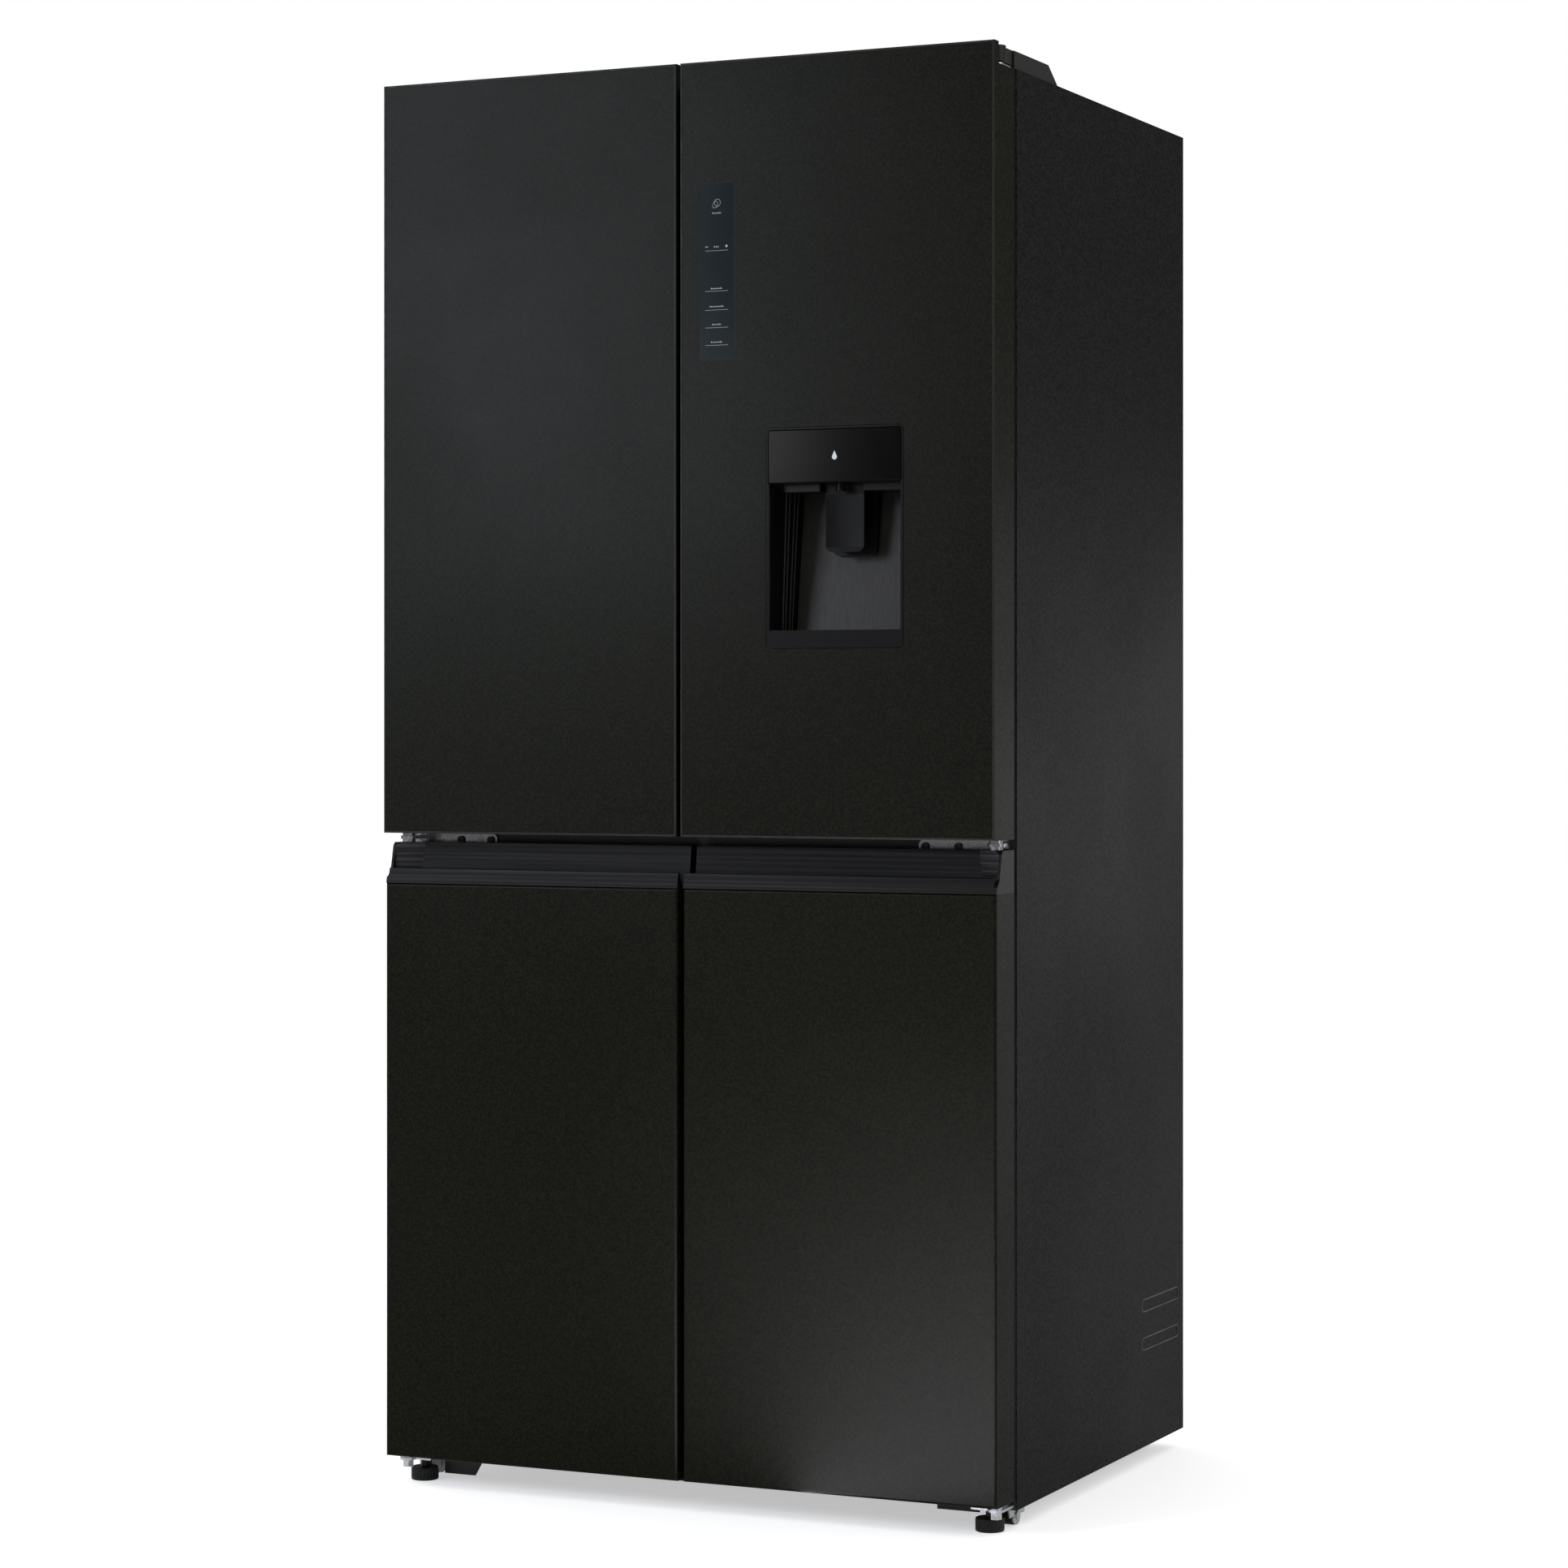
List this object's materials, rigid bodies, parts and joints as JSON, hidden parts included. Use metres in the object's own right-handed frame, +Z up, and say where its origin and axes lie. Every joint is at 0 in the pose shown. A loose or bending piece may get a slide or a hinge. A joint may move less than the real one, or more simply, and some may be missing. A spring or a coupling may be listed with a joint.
{
  "type": "french door refrigerator",
  "caption": "French door refrigerator with side-hinged lower doors, water dispenser, touch display, recessed grips, drawers and levelling feet.",
  "frame": {"origin": "centre of the footprint, on the floor under the levelling feet and rear rollers", "axes": "+Z up, the doors face -Y, +X towards the right-hand side seen from the front"},
  "size_m": [0.833, 0.685, 1.775],
  "materials": {
    "case_paint": "dark satin paint with a fine texture",
    "door_paint": "near-black satin coating with a fine pebble speckle",
    "grip_metal": "dark brushed along its length",
    "foam": "rigid foam",
    "liner_white": "white sheet liner",
    "rail_steel": "dark painted steel",
    "cover_black": "black moulded plastic",
    "zinc": "bright zinc plating",
    "screw_black": "black oxide",
    "back_sheet": "galvanised sheet",
    "compressor_black": "black enamel",
    "coil_metal": "plain metal",
    "shelf_glass": "clear toughened",
    "gasket_rubber": "dark magnetic seal",
    "bin_clear": "clear moulded plastic",
    "display_glass": "dark glossy display",
    "dispenser_gloss": "piano black",
    "dispenser_grey": "dark grey moulded plastic"
  },
  "bodies": {
    "cabinet": {"outer_case": "case_paint", "insulation": "foam", "fridge_liner": "liner_white", "lower_liners": "liner_white", "front_rails": "rail_steel", "hinge_covers": "cover_black", "top_hinges": "zinc", "mid_hinges": "zinc", "bottom_hinges": "zinc", "screws": "screw_black", "rear_panel": "back_sheet", "compressor_cover": "back_sheet", "compressor": "compressor_black", "base_tray": "rail_steel", "condenser": "coil_metal", "drip_tray": "cover_black", "evaporator": "coil_metal", "air_ducts": "liner_white", "glass_shelves": "shelf_glass", "fan_bracket": "cover_black", "power_inlet": "cover_black", "drawer_rails": "liner_white"},
    "upper_left_door": {"upper_left_panel": "door_paint", "upper_left_inner": "liner_white", "upper_left_gasket": "gasket_rubber", "upper_left_bins": "bin_clear"},
    "upper_right_door": {"upper_right_panel": "door_paint", "upper_right_inner": "liner_white", "upper_right_gasket": "gasket_rubber", "upper_right_bins": "bin_clear", "control_display": "display_glass", "dispenser_housing": "dispenser_grey", "dispenser_fascia": "dispenser_gloss", "water_tank": "bin_clear"},
    "lower_left_door": {"lower_left_panel": "door_paint", "lower_left_inner": "liner_white", "lower_left_gasket": "gasket_rubber", "lower_left_handle": "grip_metal"},
    "lower_right_door": {"lower_right_panel": "door_paint", "lower_right_inner": "liner_white", "lower_right_gasket": "gasket_rubber", "lower_right_handle": "grip_metal"},
    "mullion_flap": {"mullion_flap": "liner_white"},
    "dispenser_paddle": {"dispenser_paddle": "dispenser_grey"},
    "tank_lid": {"tank_lid": "bin_clear"},
    "condenser_fan": {"condenser_fan": "cover_black"},
    "foot_left": {"foot_left": "cover_black"},
    "foot_right": {"foot_right": "cover_black"},
    "roller_front_left": {"roller_front_left": "cover_black"},
    "roller_front_right": {"roller_front_right": "cover_black"},
    "roller_rear_left": {"roller_rear_left": "cover_black"},
    "roller_rear_right": {"roller_rear_right": "cover_black"},
    "crisper_left": {"crisper_left": "bin_clear"},
    "crisper_right": {"crisper_right": "bin_clear"},
    "drawer_bottom_left": {"drawer_bottom_left": "bin_clear"},
    "drawer_bottom_right": {"drawer_bottom_right": "bin_clear"},
    "drawer_middle_left": {"drawer_middle_left": "bin_clear"},
    "drawer_middle_right": {"drawer_middle_right": "bin_clear"},
    "drawer_top_left": {"drawer_top_left": "bin_clear"},
    "drawer_top_right": {"drawer_top_right": "bin_clear"}
  },
  "joints": [
    {"name": "upper_left_door_hinge", "type": "hinge", "parent": "cabinet", "child": "upper_left_door", "pos_m": [-0.403, -0.3035, 1.3], "axis": [0, 0, -1], "range_deg": [0, 125]},
    {"name": "lower_left_door_hinge", "type": "hinge", "parent": "cabinet", "child": "lower_left_door", "pos_m": [-0.403, -0.3035, 0.42], "axis": [0, 0, -1], "range_deg": [0, 125]},
    {"name": "upper_right_door_hinge", "type": "hinge", "parent": "cabinet", "child": "upper_right_door", "pos_m": [0.403, -0.3035, 1.3], "axis": [0, 0, 1], "range_deg": [0, 125]},
    {"name": "lower_right_door_hinge", "type": "hinge", "parent": "cabinet", "child": "lower_right_door", "pos_m": [0.403, -0.3035, 0.42], "axis": [0, 0, 1], "range_deg": [0, 125]},
    {"name": "mullion_flap_hinge", "type": "hinge", "parent": "upper_left_door", "child": "mullion_flap", "pos_m": [-0.022, -0.2605, 1.285], "axis": [0, 0, -1], "range_deg": [0, 90]},
    {"name": "paddle_hinge", "type": "hinge", "parent": "upper_right_door", "child": "dispenser_paddle", "pos_m": [0.2092, -0.3075, 1.264], "axis": [1, 0, 0], "range_deg": [0, 7], "stiffness_Nm_per_rad": 0.6, "springref_deg": -2.86},
    {"name": "tank_lid_hinge", "type": "hinge", "parent": "upper_right_door", "child": "tank_lid", "pos_m": [0.2065, -0.255, 1.342], "axis": [1, 0, 0], "range_deg": [0, 80]},
    {"name": "crisper_left_slide", "type": "slide", "parent": "cabinet", "child": "crisper_left", "axis": [0, -1, 0], "range_m": [0, 0.25]},
    {"name": "drawer_bottom_left_slide", "type": "slide", "parent": "cabinet", "child": "drawer_bottom_left", "axis": [0, -1, 0], "range_m": [0, 0.25]},
    {"name": "drawer_middle_left_slide", "type": "slide", "parent": "cabinet", "child": "drawer_middle_left", "axis": [0, -1, 0], "range_m": [0, 0.25]},
    {"name": "drawer_top_left_slide", "type": "slide", "parent": "cabinet", "child": "drawer_top_left", "axis": [0, -1, 0], "range_m": [0, 0.25]},
    {"name": "crisper_right_slide", "type": "slide", "parent": "cabinet", "child": "crisper_right", "axis": [0, -1, 0], "range_m": [0, 0.25]},
    {"name": "drawer_bottom_right_slide", "type": "slide", "parent": "cabinet", "child": "drawer_bottom_right", "axis": [0, -1, 0], "range_m": [0, 0.25]},
    {"name": "drawer_middle_right_slide", "type": "slide", "parent": "cabinet", "child": "drawer_middle_right", "axis": [0, -1, 0], "range_m": [0, 0.25]},
    {"name": "drawer_top_right_slide", "type": "slide", "parent": "cabinet", "child": "drawer_top_right", "axis": [0, -1, 0], "range_m": [0, 0.25]},
    {"name": "foot_left_screw", "type": "hinge", "parent": "cabinet", "child": "foot_left", "pos_m": [-0.3885, -0.2865, 0.02], "axis": [0, 0, 1], "continuous": true},
    {"name": "roller_front_left_spin", "type": "hinge", "parent": "cabinet", "child": "roller_front_left", "pos_m": [-0.3965, -0.2435, 0.0124], "axis": [1, 0, 0], "continuous": true},
    {"name": "roller_rear_left_spin", "type": "hinge", "parent": "cabinet", "child": "roller_rear_left", "pos_m": [-0.3605, 0.2975, 0.013], "axis": [1, 0, 0], "continuous": true},
    {"name": "foot_right_screw", "type": "hinge", "parent": "cabinet", "child": "foot_right", "pos_m": [0.3885, -0.2865, 0.02], "axis": [0, 0, 1], "continuous": true},
    {"name": "roller_front_right_spin", "type": "hinge", "parent": "cabinet", "child": "roller_front_right", "pos_m": [0.3965, -0.2435, 0.0124], "axis": [1, 0, 0], "continuous": true},
    {"name": "roller_rear_right_spin", "type": "hinge", "parent": "cabinet", "child": "roller_rear_right", "pos_m": [0.3605, 0.2975, 0.013], "axis": [1, 0, 0], "continuous": true},
    {"name": "condenser_fan_spin", "type": "hinge", "parent": "cabinet", "child": "condenser_fan", "pos_m": [0.028, 0.245, 0.135], "axis": [1, 0, 0], "continuous": true}
  ],
  "couplings": [
    {"joint": "crisper_left_slide", "follows": "upper_left_door_hinge", "m_per_rad": 0.11458},
    {"joint": "drawer_bottom_left_slide", "follows": "lower_left_door_hinge", "m_per_rad": 0.11458},
    {"joint": "drawer_middle_left_slide", "follows": "lower_left_door_hinge", "m_per_rad": 0.11458},
    {"joint": "drawer_top_left_slide", "follows": "lower_left_door_hinge", "m_per_rad": 0.11458},
    {"joint": "crisper_right_slide", "follows": "upper_right_door_hinge", "m_per_rad": 0.11458},
    {"joint": "drawer_bottom_right_slide", "follows": "lower_right_door_hinge", "m_per_rad": 0.11458},
    {"joint": "drawer_middle_right_slide", "follows": "lower_right_door_hinge", "m_per_rad": 0.11458},
    {"joint": "drawer_top_right_slide", "follows": "lower_right_door_hinge", "m_per_rad": 0.11458}
  ]
}
